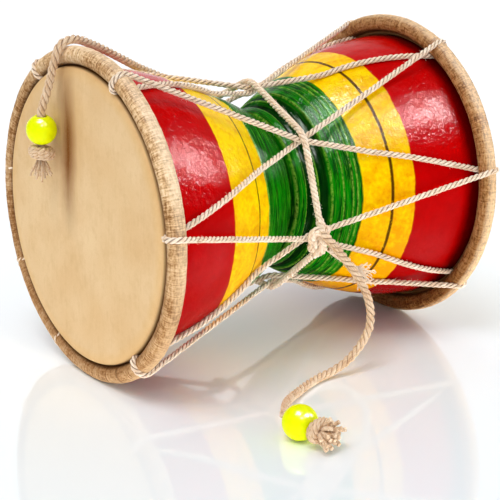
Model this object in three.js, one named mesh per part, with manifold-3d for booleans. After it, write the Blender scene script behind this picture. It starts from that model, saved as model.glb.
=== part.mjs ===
// A damaru: a small hourglass drum turned from wood, with two hide heads laced to each other.
// Millimetres, Z up. X runs along the drum's axis. The drum lies on the rims of its two hoops,
// and the origin is on the floor under its middle.
import * as THREE from 'three';
import { mergeVertices } from 'three/addons/utils/BufferGeometryUtils.js';
import Module from 'manifold-3d';

const wasm = await Module();
wasm.setup();

// Shell
const shellHalfLength = 95.6;
const waistRadius = 37;
const mouthRadius = 69.2;
const cupFullness = 0.03;
const mouthWall = 6;
const waistBoreRadius = 18;
const grooveDepth = 1.8;
const grooveHalfWidth = 2.2;
const groovePlaces = [-0.5, 8.3, 14.2];

// Heads and hoops
const skinThickness = 1.2;
const skinEdgeRound = 1.2;
const hoopTubeRadius = 4.4;
const hoopPlane = 92.5;
const restFlatDepth = 0.6;

// Ropes and beads
const lacingDiameter = 3;
const lacingBite = 1.6;
const waistCordDiameter = 3.4;
const strikerCordDiameter = 4.2;
const frontBeadDiameter = 16.2;
const topBeadDiameter = 14.6;
const beadBoreDiameter = 4.9;
const stopperKnotDiameter = 12.4;
const stopperKnotLength = 8;
const frontTuftDiameter = 14.4;
const topTuftDiameter = 10.5;
const frontTuftLength = 8;
const topTuftLength = 11;

// Clearance between pieces that touch
const gap = 0.3;

// Lacing points of each hoop and the waist's tied points between them, in degrees from the top
// towards the front. reach is how far the waist cord stands off the waist there.
const leftLacing = [-33, 25, 84, 142, 203, 240, 277];
const rightLacing = [-26, 27, 81, 131, 200, 240, 281];
const waistTies = [
  { degrees: 0, reach: 17.5 },
  { degrees: 51.5, reach: 19 },
  { degrees: 105, reach: 19.5 },
  { degrees: 155, reach: 14 },
  { degrees: 212, reach: 16.5 },
  { degrees: 260, reach: 17 },
  { degrees: 308, reach: 17.5 },
];
const frontTie = 2;
const waistKnotDegrees = 102.5;

// Routes of the two striker cords, from the waist to the stopper knot
const frontCordRoute = [
  [3.5, -62.5, 64.5], [8, -64, 59.5], [12.5, -65.5, 53.8], [17, -67, 47.2], [20.8, -68.5, 40.8],
  [21.8, -70, 34.8], [22.3, -71, 28.3], [20.7, -71.8, 21.2], [15.4, -71.8, 13.6], [8, -71.6, 7.6],
  [0, -70.8, 3.9], [-8.8, -71.4, 2.6], [-19.2, -75.2, 2.4], [-30.3, -81.2, 2.8], [-40.6, -88.4, 4.2],
  [-47.9, -96, 5.8], [-53.6, -103.3, 7.3],
];
const frontBead = {
  centre: [-57.2, -118.8, frontBeadDiameter / 2 + 0.2],
  axis: [0.12, -0.98, 0],
  diameter: frontBeadDiameter,
};
const topCordRoute = [
  [-3.9, 47.2, 119.8], [-12, 46.5, 125.8], [-22, 44.5, 131], [-33, 40.5, 137], [-44, 35.2, 143],
  [-54, 29.5, 148.6], [-64, 25.5, 153.8], [-72, 22.5, 157.2], [-80, 18.8, 159.6], [-87, 15.6, 160.8],
  [-92.5, 13.4, 161.2], [-98.1, 13.2, 158.8], [-100.9, 14.2, 151], [-102, 16.4, 143],
  [-103.4, 18.4, 135.5],
];
const topBead = { centre: [-105, 20.9, 118.8], axis: [0, 0.06, -1], diameter: topBeadDiameter };

// Sections
const latheSides = 28;
const fineStep = 2.6;
const coarseSteps = 5;
const boreSteps = 2;
const hoopSides = 8;
const lacingSides = 6;
const cordSides = 8;
const beadSides = 12;
const beadSteps = 6;
const knotSides = 8;

// Sizes that follow from the ones above
const channel = lacingDiameter + 2 * gap - lacingBite;
const hoopCentreRadius = mouthRadius + channel + hoopTubeRadius;
const hoopOuterRadius = hoopCentreRadius + hoopTubeRadius;
const axisHeight = hoopOuterRadius - restFlatDepth;
const skinFace = shellHalfLength + gap + skinThickness;
const collarRadius = hoopCentreRadius - hoopTubeRadius - gap;
const ropeClearance = lacingDiameter / 2 + gap;

const materials = {
  lacquer: { color: 0xc01822, roughness: 0.25, metalness: 0 },
  hide: { color: 0xd9b98c, roughness: 0.6, metalness: 0 },
  hoop: { color: 0xa98559, roughness: 0.65, metalness: 0 },
  rope: { color: 0xcdb391, roughness: 0.9, metalness: 0 },
  bead: { color: 0xd4f000, roughness: 0.2, metalness: 0 },
};

function part(name, geometry, material) {
  const mesh = new THREE.Mesh(geometry, new THREE.MeshStandardMaterial(materials[material]));
  mesh.name = name;
  return mesh;
}

// A place given by its distance along the axis, its distance from the axis and its angle
// from the top towards the front. The axis is at height 0 here: the drum's group lifts it.
function around(along, radius, degrees) {
  const angle = THREE.MathUtils.degToRad(degrees);
  return new THREE.Vector3(along, -radius * Math.sin(angle), radius * Math.cos(angle));
}

// Turns a profile of [radius, distance along the axis] points about X.
function turned(profile, sides = latheSides) {
  const points = profile.map(([radius, along]) => new THREE.Vector2(radius, along));
  return new THREE.LatheGeometry(points, sides).rotateZ(-Math.PI / 2);
}

// Stands a geometry that was turned about X on a place, with its X axis along a direction.
function aimed(geometry, place, direction) {
  const turn = new THREE.Quaternion().setFromUnitVectors(
    new THREE.Vector3(1, 0, 0), direction.clone().normalize());
  return geometry.applyQuaternion(turn).translate(place.x, place.y, place.z);
}

// A route that a tube follows with one section at each of its points.
class Route extends THREE.Curve {
  constructor(points) {
    super();
    this.points = points;
  }

  getUtoTmapping(u) {
    return u;
  }

  getPoint(t) {
    const place = t * (this.points.length - 1);
    const before = Math.min(Math.floor(place), this.points.length - 2);
    return this.points[before].clone().lerp(this.points[before + 1], place - before);
  }

  getTangent(t) {
    const nearest = Math.round(t * (this.points.length - 1));
    const here = this.points[nearest];
    const back = this.points[Math.max(nearest - 1, 0)];
    const ahead = this.points[Math.min(nearest + 1, this.points.length - 1)];
    const arriving = here.clone().sub(back).normalize();
    const leaving = ahead.clone().sub(here).normalize();
    return arriving.add(leaving).normalize();
  }
}

function tube(points, radius, sides) {
  const section = new THREE.Shape();
  for (let side = 0; side < sides; side += 1) {
    const angle = (side / sides) * 2 * Math.PI;
    const corner = [radius * Math.cos(angle), radius * Math.sin(angle)];
    if (side === 0) section.moveTo(...corner);
    else section.lineTo(...corner);
  }
  return new THREE.ExtrudeGeometry(section, {
    steps: points.length - 1,
    extrudePath: new Route(points),
    bevelEnabled: false,
  });
}

// Merges a geometry's shared corners and drops the faces that shrink to nothing at a pole.
function welded(geometry) {
  const bare = new THREE.BufferGeometry();
  bare.setAttribute('position', geometry.getAttribute('position').clone());
  if (geometry.index) bare.setIndex(geometry.index.clone());
  const merged = mergeVertices(bare, 1e-4);
  const faces = [];
  for (let i = 0; i < merged.index.count; i += 3) {
    const corners = [0, 1, 2].map((corner) => merged.index.getX(i + corner));
    if (new Set(corners).size === 3) faces.push(...corners);
  }
  merged.setIndex(faces);
  return merged;
}

function solid(geometry) {
  const merged = welded(geometry);
  return new wasm.Manifold(new wasm.Mesh({
    numProp: 3,
    vertProperties: new Float32Array(merged.getAttribute('position').array),
    triVerts: new Uint32Array(merged.index.array),
  }));
}

function geometryOf(body) {
  const mesh = body.getMesh();
  const geometry = new THREE.BufferGeometry();
  geometry.setAttribute('position', new THREE.BufferAttribute(mesh.vertProperties, 3));
  geometry.setIndex(new THREE.BufferAttribute(mesh.triVerts, 1));
  return geometry;
}

// Shell

function swell(share) {
  return Math.sin(share * Math.PI / 2) + cupFullness * Math.sin(share * Math.PI) ** 2;
}

function shellRadius(along) {
  const share = Math.abs(along) / shellHalfLength;
  return waistRadius + (mouthRadius - waistRadius) * swell(share);
}

function grooved(along) {
  const cut = groovePlaces.map((place) => Math.exp(-(((along - place) / grooveHalfWidth) ** 2)));
  return shellRadius(along) - grooveDepth * Math.max(...cut);
}

function boreRadius(along) {
  const share = Math.abs(along) / shellHalfLength;
  const mouthBore = mouthRadius - mouthWall;
  return waistBoreRadius + (mouthBore - waistBoreRadius) * Math.sin(share * Math.PI / 2);
}

// Even steps along the axis: fine ones over the turned waist, coarse ones over the cups.
function stations() {
  const grooveReach = Math.max(...groovePlaces) + 2 * grooveHalfWidth;
  const half = [];
  for (let along = 0; along < grooveReach; along += fineStep) half.push(along);
  for (let step = 0; step <= coarseSteps; step += 1) {
    half.push(grooveReach + (shellHalfLength - grooveReach) * (step / coarseSteps));
  }
  return [...half.slice(1).reverse().map((along) => -along), ...half];
}

function shell() {
  const outside = stations().map((along) => [grooved(along), along]);
  const inside = [];
  for (let step = boreSteps; step >= -boreSteps; step -= 1) {
    const along = shellHalfLength * (step / boreSteps);
    inside.push([boreRadius(along), along]);
  }
  const profile = [...outside, ...inside];
  return part('shell', turned([...profile, profile[0]]), 'lacquer');
}

// Lacing

// Points round a hoop's tube where the rope laps it, pressed into the hide, from the shell's side
// over the outer face to the rim. side is -1 for the left hoop and 1 for the right.
function lap(side, degrees) {
  const turns = 4;
  const reach = hoopTubeRadius + gap + lacingDiameter / 2 - lacingBite;
  const points = [];
  for (let turn = 0; turn <= turns; turn += 1) {
    const angle = -Math.PI / 2 + (turn / turns) * Math.PI;
    const along = hoopPlane + reach * Math.cos(angle);
    points.push(around(side * along, hoopCentreRadius + reach * Math.sin(angle), degrees));
  }
  return points;
}

function cordRadiusAt(tie) {
  return waistRadius + tie.reach;
}

// Where a strand crosses the waist: the two that meet lie one over the other under the cord.
function crossing(tie, level) {
  const under = cordRadiusAt(tie) - waistCordDiameter / 2 - 3 * gap - lacingDiameter / 2;
  return around(0, under - level * (lacingDiameter + 2 * gap), tie.degrees);
}

// The run from a hoop to the waist: straight, and bent only where the cup's swell is in its way.
const bendShares = [0.12, 0.26, 0.4, 0.54, 0.68];
const bendClearance = ropeClearance + gap;

function run(from, to) {
  const bends = [];
  for (const share of bendShares) {
    const point = from.clone().lerp(to, share);
    const lift = (shellRadius(point.x) + bendClearance) / Math.hypot(point.y, point.z);
    if (lift > 1) bends.push(new THREE.Vector3(point.x, point.y * lift, point.z * lift));
  }
  return bends;
}

const ties = waistTies.length;
const kneeShare = 0.06;

function lacingDegrees(side, point) {
  return (side < 0 ? leftLacing : rightLacing)[point];
}

// The two halves of a strand that leaves a hoop over its rim at a lacing point: out to the
// waist, and on to under the other hoop's next point. The left hoop's strands cross on top.
function overHalf(side, point) {
  const middle = crossing(waistTies[point], side < 0 ? 0 : 1);
  const rim = lap(side, lacingDegrees(side, point)).at(-1);
  return [...run(rim, middle), middle.clone().lerp(rim, kneeShare), middle];
}

function underHalf(side, point) {
  const tie = (point + ties - 1) % ties;
  const middle = crossing(waistTies[tie], side < 0 ? 1 : 0);
  const inner = lap(side, lacingDegrees(side, point))[0];
  return [middle.clone().lerp(inner, kneeShare), ...run(inner, middle).reverse()];
}

// The stretch of rope at one lacing point, which the hide and the hoop make room for.
function lapRoute(side, point) {
  return [
    underHalf(side, point).at(-1),
    ...lap(side, lacingDegrees(side, point)),
    overHalf(side, point)[0],
  ];
}

function withoutLapped(body, side) {
  let left = body;
  for (let point = 0; point < ties; point += 1) {
    left = left.subtract(solid(tube(lapRoute(side, point), ropeClearance, lacingSides)));
  }
  return left;
}

// The whole rope goes twice round the drum: each strand shifts it on by one lacing point.
const lacingStart = ties - 2;

function lacingRoute() {
  const points = [];
  for (let step = 0; step < 2 * ties; step += 1) {
    const here = (lacingStart + step) % ties;
    const next = (here + 1) % ties;
    const side = step % 2 === 0 ? -1 : 1;
    points.push(...overHalf(side, here), ...underHalf(-side, next));
    points.push(...lap(-side, lacingDegrees(-side, next)));
  }
  return points;
}

// The rope's ends meet in a knot on its first strand, behind the drum.
const lacingKnotLength = 8;
const lacingKnotDiameter = 6.5;
const lacingKnotShare = 0.18;

function lacingKnotPlace() {
  const route = lacingRoute();
  const rim = route.at(-1);
  const ahead = route[0];
  return { rim, ahead, centre: rim.clone().lerp(ahead, lacingKnotShare) };
}

function lacingRope() {
  const { rim, ahead, centre } = lacingKnotPlace();
  const direction = ahead.clone().sub(rim).normalize();
  const clear = lacingKnotLength / 2 + gap;
  const first = centre.clone().addScaledVector(direction, clear);
  const last = centre.clone().addScaledVector(direction, -clear);
  const route = [first, ...lacingRoute(), last];
  return part('lacing_rope', tube(route, lacingDiameter / 2, lacingSides), 'rope');
}

function lacingKnot() {
  const { rim, ahead, centre } = lacingKnotPlace();
  const geometry = turned(turnsProfile(lacingKnotLength, lacingKnotDiameter, 2), cordSides);
  return part('lacing_knot', aimed(geometry, centre, ahead.clone().sub(rim)), 'rope');
}

// A knot's outline: rounded turns of cord side by side, closed on the axis at both ends.
function turnsProfile(length, diameter, turns) {
  const steps = 4 * turns;
  const profile = [[0, -length / 2]];
  for (let step = 0; step <= steps; step += 1) {
    const along = -length / 2 + (step / steps) * length;
    const bulge = Math.abs(Math.sin((step / steps) * turns * Math.PI));
    profile.push([diameter * (0.36 + 0.14 * bulge), along]);
  }
  profile.push([0, length / 2]);
  return profile;
}

// Heads

function skin(name, side) {
  const mouthTop = shellHalfLength + gap;
  const profile = [
    [0, mouthTop],
    [mouthRadius + gap, mouthTop],
    [mouthRadius + gap, hoopPlane + gap],
    [collarRadius, hoopPlane + gap],
    [collarRadius, skinFace - skinEdgeRound],
    [collarRadius - skinEdgeRound * 0.3, skinFace - skinEdgeRound * 0.3],
    [collarRadius - skinEdgeRound, skinFace],
    [0, skinFace],
  ];
  const disc = turned(profile);
  if (side < 0) disc.rotateZ(Math.PI);
  return part(name, geometryOf(withoutLapped(solid(disc), side)), 'hide');
}

function hoop(name, side) {
  const profile = [];
  for (let corner = 0; corner < hoopSides; corner += 1) {
    const angle = (corner / hoopSides) * 2 * Math.PI;
    const radius = hoopCentreRadius + hoopTubeRadius * Math.cos(angle);
    profile.push([radius, side * hoopPlane + hoopTubeRadius * Math.sin(angle)]);
  }
  const ring = withoutLapped(solid(turned([...profile, profile[0]])), side);
  const floorDepth = 4 * restFlatDepth;
  const floor = new THREE.BoxGeometry(2 * skinFace + 2 * hoopTubeRadius, hoopOuterRadius, floorDepth);
  floor.translate(0, 0, -axisHeight - floorDepth / 2);
  return part(name, geometryOf(ring.subtract(solid(floor))), 'hoop');
}

// Waist cord and its knot

const waistKnotLength = 13;
const waistKnotDiameter = 10;
const kneeHalf = 2.6;

function waistKnotPlace() {
  const tie = waistTies[frontTie];
  const outerStrand = crossing(tie, 0);
  const outside = outerStrand.length() + lacingDiameter / 2 + gap + waistKnotDiameter / 2;
  return around(0, outside, waistKnotDegrees);
}

// Over each tie the cord lies flat across the two strands, and it runs straight between them.
function waistCord() {
  const others = [...waistTies.slice(frontTie + 1), ...waistTies.slice(0, frontTie)];
  const points = [];
  for (const tie of others) {
    const radius = cordRadiusAt(tie);
    const spread = THREE.MathUtils.radToDeg(kneeHalf / radius);
    points.push(around(0, radius, tie.degrees - spread));
    points.push(around(0, radius, tie.degrees + spread));
  }
  const centre = waistKnotPlace();
  const downwards = around(0, 1, waistKnotDegrees + 90);
  const knotEnd = waistKnotLength / 2 + gap;
  const straight = knotEnd + waistCordDiameter / 2;
  const below = (distance) => centre.clone().addScaledVector(downwards, distance);
  const route = [below(knotEnd), below(straight), ...points, below(-straight), below(-knotEnd)];
  return part('waist_cord', tube(route, waistCordDiameter / 2, lacingSides), 'rope');
}

function waistKnot() {
  const centre = waistKnotPlace();
  const downwards = around(0, 1, waistKnotDegrees + 90);
  const lump = turned(turnsProfile(waistKnotLength, waistKnotDiameter, 3), cordSides);
  return part('waist_knot', aimed(lump, centre, downwards), 'rope');
}

// The top striker cord is tied to the waist cord behind the drum.
const strikerTie = 6;
const strikerTieLength = 9;
const strikerTieDiameter = 8.6;

function strikerTieKnot() {
  const tie = waistTies[strikerTie];
  const outside = cordRadiusAt(tie) + waistCordDiameter / 2 + gap + strikerTieDiameter / 2;
  const centre = around(0, outside, tie.degrees);
  const cordStart = new THREE.Vector3(...topCordRoute[0]);
  cordStart.z -= axisHeight;
  const lump = turned(turnsProfile(strikerTieLength, strikerTieDiameter, 2), cordSides);
  return part('top_tie_knot', aimed(lump, centre, cordStart.sub(centre)), 'rope');
}

// Striker cords

function vectors(route) {
  return route.map((point) => new THREE.Vector3(...point));
}

function beadProfile(diameter) {
  const radius = diameter / 2;
  const hole = beadBoreDiameter / 2;
  const start = Math.acos(hole / radius);
  const profile = [];
  for (let step = 0; step <= beadSteps; step += 1) {
    const angle = -start + (step / beadSteps) * 2 * start;
    profile.push([radius * Math.cos(angle), radius * Math.sin(angle)]);
  }
  return [...profile, profile[0]];
}

// A stopper knot with the cord's frayed end behind it, along the bead's axis.
function knotAndTuftProfile(tuft) {
  const knot = turnsProfile(stopperKnotLength, stopperKnotDiameter, 2);
  knot.pop();
  const neck = stopperKnotLength / 2;
  return [
    ...knot,
    [strikerCordDiameter * 0.7, neck + 0.8],
    [tuft.diameter * 0.42, neck + tuft.length * 0.6],
    [tuft.diameter * 0.5, neck + tuft.length],
    [0, neck + tuft.length * 0.9],
  ];
}

function striker(prefix, route, bead, tuft) {
  const centre = new THREE.Vector3(...bead.centre);
  const axis = new THREE.Vector3(...bead.axis).normalize();
  const along = (distance) => centre.clone().addScaledVector(axis, distance);
  const knotStart = bead.diameter / 2 + gap;
  const straightFrom = -bead.diameter / 2 - strikerCordDiameter / 3;
  const cord = [...vectors(route), along(straightFrom), along(knotStart - gap)];
  const knotCentre = along(knotStart + stopperKnotLength / 2);
  return [
    part(`${prefix}_striker_cord`, tube(cord, strikerCordDiameter / 2, cordSides), 'rope'),
    part(`${prefix}_bead`, aimed(turned(beadProfile(bead.diameter), beadSides), centre, axis), 'bead'),
    part(`${prefix}_knot`, aimed(turned(knotAndTuftProfile(tuft), knotSides), knotCentre, axis), 'rope'),
  ];
}

const drum = new THREE.Group();
drum.position.z = axisHeight;
drum.add(
  shell(),
  skin('left_skin', -1),
  skin('right_skin', 1),
  hoop('left_hoop', -1),
  hoop('right_hoop', 1),
  lacingRope(),
  lacingKnot(),
  waistCord(),
  waistKnot(),
  strikerTieKnot(),
);

const damaru = new THREE.Group();
damaru.add(
  drum,
  ...striker('front', frontCordRoute, frontBead, { length: frontTuftLength, diameter: frontTuftDiameter }),
  ...striker('top', topCordRoute, topBead, { length: topTuftLength, diameter: topTuftDiameter }),
);

export default damaru;
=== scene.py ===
from math import acos, cos, hypot, pi, radians, sin, sqrt

import bmesh
import bpy
from mathutils import Matrix, Vector, noise


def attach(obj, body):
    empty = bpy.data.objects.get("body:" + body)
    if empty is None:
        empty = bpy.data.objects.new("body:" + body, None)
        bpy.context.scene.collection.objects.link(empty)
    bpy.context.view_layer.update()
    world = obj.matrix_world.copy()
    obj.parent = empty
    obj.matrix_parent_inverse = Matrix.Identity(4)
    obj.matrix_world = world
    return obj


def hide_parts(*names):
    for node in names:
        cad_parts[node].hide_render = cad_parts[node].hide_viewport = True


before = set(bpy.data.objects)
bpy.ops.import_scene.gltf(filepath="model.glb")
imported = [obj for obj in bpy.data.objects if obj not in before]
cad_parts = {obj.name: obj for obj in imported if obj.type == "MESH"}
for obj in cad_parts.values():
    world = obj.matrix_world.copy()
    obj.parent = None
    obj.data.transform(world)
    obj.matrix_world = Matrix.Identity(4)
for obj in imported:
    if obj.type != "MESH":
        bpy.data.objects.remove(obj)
scene = bpy.context.scene
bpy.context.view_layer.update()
print("loaded the drum's solids")

# Sizes in this file are in millimetres unless a name says otherwise.
# X runs along the drum, the floor is at height 0, angles go from the top towards the front.
millimetre = 0.001

drum = {
    "axisHeight": 79.4,
    "halfLength": 95.6,
    "waistRadius": 37.0,
    "mouthRadius": 69.2,
    "cupFullness": 0.03,
    "mouthWall": 6.0,
    "boreRadius": 18.0,
    "hoopPlane": 92.5,
    "hoopCentreRadius": 75.6,
    "hoopTubeRadius": 4.4,
    "skinFace": 97.1,
    "floorGap": 0.06,
}


def around(along, radius, degrees):
    angle = radians(degrees)
    return Vector((along, -radius * sin(angle), drum["axisHeight"] + radius * cos(angle)))


# Camera.

view = {
    "place": (-433.545, -600.072, 274.43),
    "yaw": 0.6268,  # radians from +Y towards +X
    "pitch": 0.2982,  # radians downwards
    "roll": 0.0084,
    "lens": 109.21,
    "sensor": 36.0,
}


def placeCamera(view):
    yaw, pitch, roll = view["yaw"], view["pitch"], view["roll"]
    forward = Vector((sin(yaw) * cos(pitch), cos(yaw) * cos(pitch), -sin(pitch)))
    level = Vector((cos(yaw), -sin(yaw), 0))
    upright = level.cross(forward)
    right = cos(roll) * level + sin(roll) * upright
    up = cos(roll) * upright - sin(roll) * level
    data = bpy.data.cameras.new("camera")
    data.lens = view["lens"]
    data.sensor_width = view["sensor"]
    data.clip_start = 0.01
    data.clip_end = 20
    camera = bpy.data.objects.new("camera", data)
    scene.collection.objects.link(camera)
    turn = Matrix((right, up, -forward)).transposed().to_4x4()
    camera.matrix_world = Matrix.Translation(Vector(view["place"]) * millimetre) @ turn
    scene.camera = camera


placeCamera(view)
print("camera placed")


# Node trees.

class Flow:  # a socket that can be used in sums
    def __init__(self, bench, socket):
        self.bench = bench
        self.socket = socket

    def maths(self, operation, *others):
        return self.bench.sum(operation, self, *others)

    def __add__(self, other):
        return self.maths("ADD", other)

    def __sub__(self, other):
        return self.maths("SUBTRACT", other)

    def __rsub__(self, other):
        return self.bench.sum("SUBTRACT", other, self)

    def __mul__(self, other):
        return self.maths("MULTIPLY", other)

    def __truediv__(self, other):
        return self.maths("DIVIDE", other)

    def __rtruediv__(self, other):
        return self.bench.sum("DIVIDE", other, self)

    def __pow__(self, other):
        return self.maths("POWER", other)

    def __neg__(self):
        return self.maths("MULTIPLY", -1)

    def __abs__(self):
        return self.maths("ABSOLUTE")

    __radd__ = __add__
    __rmul__ = __mul__

    def ease(self, low, high):  # 0 below low, 1 above high
        return self.bench.make("ShaderNodeMapRange", {0: self, 1: low, 2: high})[0]

    def near(self, place, halfWidth, soft):  # 1 within a half width of a place
        return 1 - abs(self - place).ease(halfWidth - soft, halfWidth + soft)

    def cloud(self, scale, detail=2.0, roughness=0.5, distortion=0.0):
        return self.bench.make("ShaderNodeTexNoise", {
            "Vector": self, "Scale": scale, "Detail": detail, "Roughness": roughness,
            "Distortion": distortion})["Fac"]

    def vector(self, operation, *others, output="Vector"):
        inputs = dict(enumerate([self, *others]))
        return self.bench.make("ShaderNodeVectorMath", inputs, operation=operation)[output]

    def ramp(self, *stops):
        return self.bench.make("ShaderNodeValToRGB", {0: self}, stops=stops)[0]

    def scaled(self, amount):
        return self.bench.make("ShaderNodeVectorMath", {
            0: self, "Scale": amount}, operation="SCALE")["Vector"]

    def split(self):
        parts = self.bench.make("ShaderNodeSeparateXYZ", {0: self})
        return parts[0], parts[1], parts[2]

    def keep(self, name, value, kind="FLOAT"):  # stores a value under a name on the points
        return self.bench.make("GeometryNodeStoreNamedAttribute", {
            "Geometry": self, "Name": name, "Value": value}, data_type=kind, domain="POINT")[0]

    def moved(self, offset):
        return self.bench.make("GeometryNodeSetPosition", {"Geometry": self, "Offset": offset})[0]

    def swept(self, section, caps=True):  # a line made into a tube
        return self.bench.make("GeometryNodeCurveToMesh", {
            "Curve": self, "Profile Curve": section, "Fill Caps": caps})[0]


class Made:  # a new node, whose outputs are taken by name or number
    def __init__(self, bench, node):
        self.bench = bench
        self.node = node

    def __getitem__(self, key):
        return Flow(self.bench, self.node.outputs[key])


class Bench:  # adds nodes to one tree
    def __init__(self, tree, material=None):
        self.tree = tree
        self.material = material

    def make(self, kind, inputs=(), **settings):
        node = self.tree.nodes.new(kind)
        for key, value in settings.items():
            if key == "stops":
                self.fillRamp(node.color_ramp, value)
            else:
                setattr(node, key, value)
        for key, value in dict(inputs).items():
            for one in value if isinstance(value, list) else [value]:
                if isinstance(one, Flow):
                    self.tree.links.new(one.socket, node.inputs[key])
                else:
                    node.inputs[key].default_value = one
        return Made(self, node)

    def fillRamp(self, ramp, stops):
        ramp.elements.remove(ramp.elements[1])
        for number, (place, shade) in enumerate(stops):
            stop = ramp.elements[0] if number == 0 else ramp.elements.new(place)
            stop.position = place
            stop.color = (*shade, 1)

    def sum(self, operation, *values):
        return self.make("ShaderNodeMath", dict(enumerate(values)), operation=operation)[0]

    def joined(self, x, y, z):
        return self.make("ShaderNodeCombineXYZ", {0: x, 1: y, 2: z})["Vector"]

    def blend(self, share, first, second, way="MIX"):
        first, second = [(*one, 1) if isinstance(one, tuple) else one for one in (first, second)]
        return self.make("ShaderNodeMix", {
            0: share, 6: first, 7: second}, data_type="RGBA", blend_type=way)[2]

    def layered(self, base, *layers):  # each layer has its share, its colour and perhaps its way
        for share, *layer in layers:
            base = self.blend(share, base, *layer)
        return base

    def attribute(self, name, output="Fac"):
        return self.make("ShaderNodeAttribute", attribute_name=name)[output]

    def place(self):  # on the finished piece, in millimetres
        return self.make("ShaderNodeTexCoord")["Object"].scaled(1 / millimetre)

    def position(self):  # of the points, in metres
        return self.make("GeometryNodeInputPosition")[0]

    def random(self, low, high, seed):
        return self.make("FunctionNodeRandomValue", {
            2: low, 3: high, "Seed": seed}, data_type="FLOAT")[1]

    def circle(self, sides, radius):
        return self.make("GeometryNodeCurvePrimitiveCircle", {
            "Resolution": sides, "Radius": radius}, mode="RADIUS")[0]


def colour(red, green, blue):  # screen values 0 to 255 made linear
    return tuple((value / 255) ** 2.2 for value in (red, green, blue))


def startMaterial(name):
    material = bpy.data.materials.new(name)
    material.use_nodes = True
    material.node_tree.nodes.clear()
    return Bench(material.node_tree, material)


def finishMaterial(bench, base, roughness, bumps=None, bumpDepth=0.0, bumpStrength=1.0, **fixed):
    inputs = {"Base Color": base, "Roughness": roughness}
    inputs.update({key.replace("_", " "): value for key, value in fixed.items()})
    if bumps is not None:
        inputs["Normal"] = bench.make("ShaderNodeBump", {
            "Strength": bumpStrength, "Distance": bumpDepth * millimetre, "Height": bumps})["Normal"]
    shader = bench.make("ShaderNodeBsdfPrincipled", inputs)
    bench.make("ShaderNodeOutputMaterial", {"Surface": shader["BSDF"]})
    return bench.material


# Jute: fibres run along each strand and wind round it.

jute = {
    "dark": colour(140, 98, 60),
    "middle": colour(231, 196, 160),
    "light": colour(255, 240, 220),
    # the valley colour is painted shade between the strands
    "valley": colour(124, 76, 40),
    "valleyShare": 0.92,  # how dark the painted shade between the strands gets
    "brown": (0.66, 0.52, 0.36),
    "browner": 0.0,  # the share of brown laid over all of it
    "fibreWind": -0.7,  # radians of winding in a millimetre
    "fibreRun": 0.22,
    "fibreFine": 1.9,
}


def juteMaterial(jute):
    bench = startMaterial("jute")
    along, strand = bench.attribute("ropeAlong"), bench.attribute("ropeStrand")
    side, top, _ = bench.attribute("ropeRound", "Vector").split()
    turn = along * jute["fibreWind"]
    cosine, sine = turn.maths("COSINE"), turn.maths("SINE")
    first, second = side * cosine - top * sine, side * sine + top * cosine
    fine = jute["fibreFine"]
    fibre = bench.joined(along * jute["fibreRun"] + strand * 17, first * fine, second * fine)
    streak = fibre.cloud(1.0, 3.0, 0.62)
    hair = bench.joined(along * 0.5 + strand * 9, first * 6, second * 6).cloud(1.0, 2.0, 0.6)
    patch = bench.joined(along * 0.045, strand * 3.1, 0.0).cloud(1.0, 1.0)
    tone = streak * 0.72 + hair * 0.28 + (patch - 0.5) * 0.25
    base = tone.ramp((0.3, jute["dark"]), (0.41, jute["middle"]), (0.57, jute["light"]))
    rise = bench.attribute("ropeRise")
    # painted shade in the valleys between the strands, broken up by the fibre streaks
    valley = (1 - rise.ease(0.52, 0.88)) * (streak + patch * 0.5).ease(0.25, 0.6)
    base = bench.layered(
        base, (valley * jute["valleyShare"], jute["valley"]), (jute["browner"], jute["brown"], "MULTIPLY"))
    return finishMaterial(bench, base, 0.88, streak * 0.6 + hair * 0.4, 0.28, 0.9,
                          Sheen_Weight=0.12, Sheen_Roughness=0.5, Specular_IOR_Level=0.04)


juteFinish = juteMaterial(jute)
strikerFinish = juteMaterial({**jute, "browner": 0.62, "valleyShare": 1.0})


# Ropes.

def evenLine(points, step):  # the same line with points a step apart
    points = [Vector(point) for point in points]
    lengths = [0.0]
    for before, after in zip(points, points[1:]):
        lengths.append(lengths[-1] + (after - before).length)
    count = max(2, round(lengths[-1] / step))
    line, segment = [], 0
    for number in range(count + 1):
        target = lengths[-1] * number / count
        while segment < len(points) - 2 and lengths[segment + 1] < target:
            segment += 1
        span = lengths[segment + 1] - lengths[segment]
        share = (target - lengths[segment]) / span if span else 0
        line.append(points[segment].lerp(points[segment + 1], share))
    return line


def roundedLine(points, step, passes):  # corners rounded by averaging neighbours
    line = evenLine(points, step)
    for _ in range(passes):
        middle = [(a + 2 * b + c) / 4 for a, b, c in zip(line, line[1:], line[2:])]
        line = [line[0], *middle, line[-1]]
    return evenLine(line, step)


def lengthOf(line):
    return sum((after - before).length for before, after in zip(line, line[1:]))


def curvedLine(points, step, parts=12):  # a smooth curve through every point
    points = [Vector(point) for point in points]
    ends = [points[0] * 2 - points[1], *points, points[-1] * 2 - points[-2]]
    fine = []
    for before, here, after, beyond in zip(ends, ends[1:], ends[2:], ends[3:]):
        for part in range(parts):
            t = part / parts
            fine.append(0.5 * (
                2 * here + (after - before) * t
                + (2 * before - 5 * here + 4 * after - beyond) * t ** 2
                + (3 * here - before - 3 * after + beyond) * t ** 3))
    return evenLine([*fine, points[-1]], step)


def startShapes(name, sizes):
    tree = bpy.data.node_groups.new(name, "GeometryNodeTree")
    newSocket = tree.interface.new_socket
    newSocket("Geometry", in_out="INPUT", socket_type="NodeSocketGeometry")
    for key, value in sizes.items():
        kind = "NodeSocketInt" if isinstance(value, int) else "NodeSocketFloat"
        newSocket(key, in_out="INPUT", socket_type=kind).default_value = value
    newSocket("Finish", in_out="INPUT", socket_type="NodeSocketMaterial")
    newSocket("Geometry", in_out="OUTPUT", socket_type="NodeSocketGeometry")
    bench = Bench(tree)
    return bench, bench.make("NodeGroupInput")


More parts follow.
